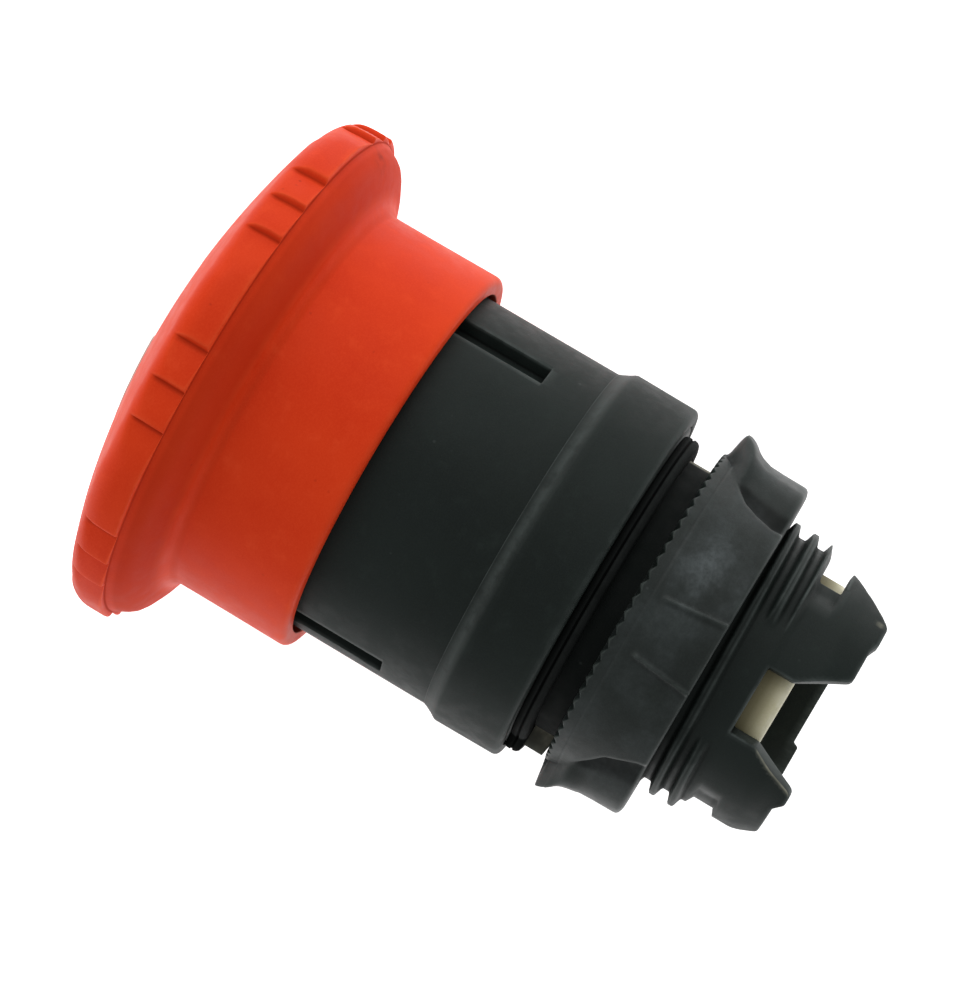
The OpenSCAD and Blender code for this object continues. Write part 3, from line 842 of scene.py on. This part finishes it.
def rear_edge():
    """The barrel's rear edge as (degrees, z, corner radius), over one turn from the seam."""
    e, h, t = THREAD_END, HOOK_TOP, TONGUE_END
    far_tongue = [(-114.8, e, 0.2), (-114.8, h, 0.15), (-124, h, 0.25), (-124, -14.25, 0.4),
                  (-110.5, -16.55, 0.8), (-63.3, -16.55, 0.2), (-62, -17, 0.25), (-44, -17, 0.5),
                  (-44, h, 0.25), (-56.6, h, 0.15), (-56.6, e, 0.2)]
    lower_tongue = [(2.5, e, 0.2), (2.5, -14.1, 0.3), (24, -17.2, 0.8), (50, -17.2, 0.35), (55, t, 0.5),
                    (62, t, 0.8), (75, -14.05, 0.4), (75, e, 0.15)]
    upper_tongue = [(105.1, e, 0.15), (105.1, -14, 0.4), (112.7, -16, 0.3), (118, -17.45, 0.6),
                    (134, -17.45, 0.6), (140, t, 0.5), (151.5, t, 1.0), (156.3, -17.12, 0.8),
                    (163.4, -15.43, 0.5), (174.5, -14.05, 0.15), (173.5, h, 0.12), (156.2, h, 0.15),
                    (156.2, e, 0.2)]
    return [(SEAM, e, 0), *far_tongue, *lower_tongue, *upper_tongue, (SEAM + 360, e, 0)]


def in_gap(r, z):
    """Painted shade on the neck, between the gasket and the nut."""
    return (r < 11.2) * smooth(z, -2.6, -1.6)


def nick_glints_and_highlights(a, z, r):
    """The key and the neck opposite it lightened with a painted glint, a nick on one tongue, and painted
    highlights along the edges of two tongues.
    """
    in_front = smooth(z, -1.7, -1.5)
    key = (np.abs(off_angle(a, 0)) < 8.5) * in_front
    neck = smooth(14 - np.abs(off_angle(a, 190)), 0, 5) * in_front
    nick = bell(off_angle(a, 150), 1.2) * bell(z + 17.2, 0.25)
    crest = r > ROOT_R - 0.14 - 0.45 * smooth(-z, 15.2, 17.6)
    lower = along([(TONGUE_END, 62), (-14.05, 75)], z)
    upper = along([(-17.4, 155.4), (-17.12, 156.3), (-15.43, 163.4), (-14.05, 174.5)], z)
    lower_edge = bell(a - lower, 0.8) * smooth(-z, 14.0, 14.4) * crest
    upper_edge = bell(a - upper, 0.9) * smooth(-z, 14.2, 14.6) * crest
    return 0.85 * key + 1.4 * nick + 1.8 * neck + 1.3 * lower_edge + 0.9 * upper_edge


def build_barrel():
    per_degree = math.radians(1) * ROOT_R
    front = 4.8
    rear = spaced(rounded([(a * per_degree, z, r) for a, z, r in rear_edge()], 4), 0.28)
    u0, u1 = SEAM * per_degree, (SEAM + 360) * per_degree
    rows = np.concatenate([np.arange(THREAD_END + 0.2, -8.0, 0.09), np.arange(-8.0, -2.2, 0.5),
                           np.arange(-2.2, 1.4, 0.11), [2.0, 2.97, 3.03, 4.0]])
    seam_down = np.array([(u0, z) for z in sorted(rows, reverse=True)])
    seam_up = np.array([(u1, z) for z in sorted(rows)])
    front_edge = np.array([(u, front) for u in np.linspace(u1, u0, 181)])
    loop = np.concatenate([rear, seam_up, front_edge, seam_down])
    ends = np.stack([loop[:, 0], np.roll(loop[:, 0], -1)])
    free = np.any([np.all(np.abs(ends - u) < 1e-9, axis=0) for u in (u0, u1)], axis=0)
    key_edge = KEY_W / 2 / NECK_R * ROOT_R
    key_lines = [side * key_edge + d for side in (-1, 1) for d in (-0.09, -0.05, -0.015, 0.015, 0.05, 0.09)]
    columns = np.arange(u0 + 0.25, u1 - 0.1, 0.25)
    columns = np.array([c for c in columns if min(abs(c - k) for k in key_lines) > 0.1])
    tail_rows = np.arange(TONGUE_END + 0.3, THREAD_END, 0.22)
    grid = [(u, z) for z in np.concatenate([tail_rows, rows]) for u in columns]
    grid += [(u, z) for z in rows if z > -2.3 for u in key_lines]
    coarse = [(u, z) for z in np.arange(-17, front, 1.1) for u in np.arange(u0 + 0.5, u1, 0.5)]
    points, faces = bent_plate(loop, free, outer_barrel, inner_barrel, np.array(grid), np.array(coarse),
                               edge=0.16, margin=0.06)
    finish_piece("barrel_shell", points, faces, BARREL_BLACK, "body", ["threaded_barrel"],
                 nick_glints_and_highlights, in_gap)


build_barrel()


# ---------------------------------------------------------------- plunger
def build_plunger():
    outer = [(PLUNGER_R, 4, 0), (PLUNGER_R - 0.02, PLUNGER_END, 0.45), (6.6, PLUNGER_END, 0.15),
             (6.4, PLUNGER_END + 0.7, 0.1), (5.2, PLUNGER_END + 0.7, 0.1), (5.0, PLUNGER_END, 0.15),
             (1.9, PLUNGER_END, 0.2), (1.6, PLUNGER_END + 0.8, 0.1), (0, PLUNGER_END + 0.8, 0)]
    inner = [(0, -12.0, 0), (PLUNGER_R - 1.5, -12.0, 0.3), (PLUNGER_R - 1.5, 4, 0)]
    profile = np.concatenate([spaced(rounded(outer, 5), 0.6), spaced(rounded(inner, 4), 1.2)])
    points, faces = lathe(profile, np.arange(0, 360, 2))
    # painted shade on the plunger's side, darker from its rear rim towards the front
    finish_piece("plunger_cup", points, faces, CREAM, "plunger", ["plunger"],
                 shade=lambda r, z: smooth(z, -13.9, -12.6) * (r > 8))


build_plunger()


# ---------------------------------------------------------------- arrows on the cap's front
def on_circles(places):
    """Points at (radius, degrees)."""
    return [(r * math.cos(math.radians(a)), r * math.sin(math.radians(a))) for r, a in places]


def arrow_outline():
    """A curved arrow, clockwise as seen from in front, as an anticlockwise outline."""
    outer = on_circles([(10.6, a) for a in range(-88, -24, 2)])
    inner = on_circles([(8.6, a) for a in range(-26, -89, -2)])
    head = on_circles([(6.6, -88), (9.6, -108), (12.6, -88)])
    return spaced(outer + inner + head + outer[:1], 0.3)[:-1]


def arrow_top(p, depth):
    raised = 0.1
    return np.stack([p[:, 0], p[:, 1], dome_z(np.hypot(*p.T)) + raised - depth], 1)


def arrow_bottom(p, depth):
    sunk = 0.08
    return np.stack([p[:, 0], p[:, 1], dome_z(np.hypot(*p.T)) - sunk + depth], 1)


def build_arrows():
    line = np.arange(-13, 13, 0.35)
    grid = np.stack(np.meshgrid(line, line), -1).reshape(-1, 2)
    outline = arrow_outline()
    every_points, every_faces = [], []
    for turn in (0, 120, 240):
        c, s = math.cos(math.radians(turn)), math.sin(math.radians(turn))
        loop = outline @ np.array([[c, s], [-s, c]])
        points, faces = bent_plate(loop, np.zeros(len(loop), bool), arrow_top, arrow_bottom, grid, grid,
                                   edge=0.06, margin=0.12)
        start = sum(len(p) for p in every_points)
        every_points.append(points)
        every_faces += [[start + v for v in f] for f in faces]
    finish_piece("arrow_prints", np.concatenate(every_points), every_faces, WHITE, "cap",
                 ["turn_arrows"])


build_arrows()


# ---------------------------------------------------------------- springs
def coil(name, radius, wire, low, high, turns, body, node):
    """A coil of round wire between the heights low and high, with closed end turns and rounded ends."""
    steps_per_turn = 36
    sides = 12
    flat_turns = 0.75
    count = round(turns * steps_per_turn)
    turned = np.arange(count + 1) / steps_per_turn
    rise = np.clip((turned - flat_turns) / (turns - 2 * flat_turns), 0, 1)
    middle = low + wire + (high - low - 2 * wire) * rise
    taper = [0.0, 0.55, 0.85]
    thickness = np.concatenate([taper, np.ones(len(turned) - 6), taper[::-1]]) * wire
    points = []
    for turn, z, thick in zip(turned, middle, thickness):
        a = 2 * math.pi * turn
        for k in range(sides):
            b = 2 * math.pi * k / sides
            r = radius + thick * math.cos(b)
            points.append((r * math.cos(a), r * math.sin(a), z + thick * math.sin(b)))
    faces = []
    for i in range(count):
        for k in range(sides):
            m = (k + 1) % sides
            faces.append([i * sides + k, i * sides + m, (i + 1) * sides + m, (i + 1) * sides + k])
    return finish_piece(name, np.array(points), faces, SPRING, body, [node])


def build_main_spring():
    """The spring under the hub, as a coil between the heights of its CAD part."""
    low, high = (corner[1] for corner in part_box("main_spring"))
    front, rear = -low / MM, -high / MM
    spring = coil("main_coil", 7.6, 0.5, rear, front, 6, "body", "main_spring")
    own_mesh(spring)


def build_trip_spring():
    """The spring behind the stem, from its seat to the plunger; it is attached to no body."""
    low, high = (corner[1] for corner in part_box("trip_spring"))
    spring = coil("trip_coil", 6.35, 0.38, -high / MM, -low / MM, 8, None, "trip_spring")
    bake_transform(spring)


build_main_spring()
build_trip_spring()


# ---------------------------------------------------------------- inner pieces keep their CAD shapes
CARRIED = {
    "cap_hub": BLACK, "release_cam": CREAM, "turn_stop": BLACK, "latch_housing": BLACK,
    "hub_clip": PLATE, "thrust_washer": PLATE, "spring_seat": PLATE, "trip_seat": PLATE,
    "latch_pawl_left": PLATE, "latch_pawl_right": PLATE, "plunger_stem": PLATE,
    "turn_spring": SPRING,
    "pawl_spring_left": SPRING, "pawl_spring_right": SPRING, "sleeve_seal": RUBBER,
}
for node, material in CARRIED.items():
    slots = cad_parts[node].data.materials
    slots.clear()
    slots.append(material)
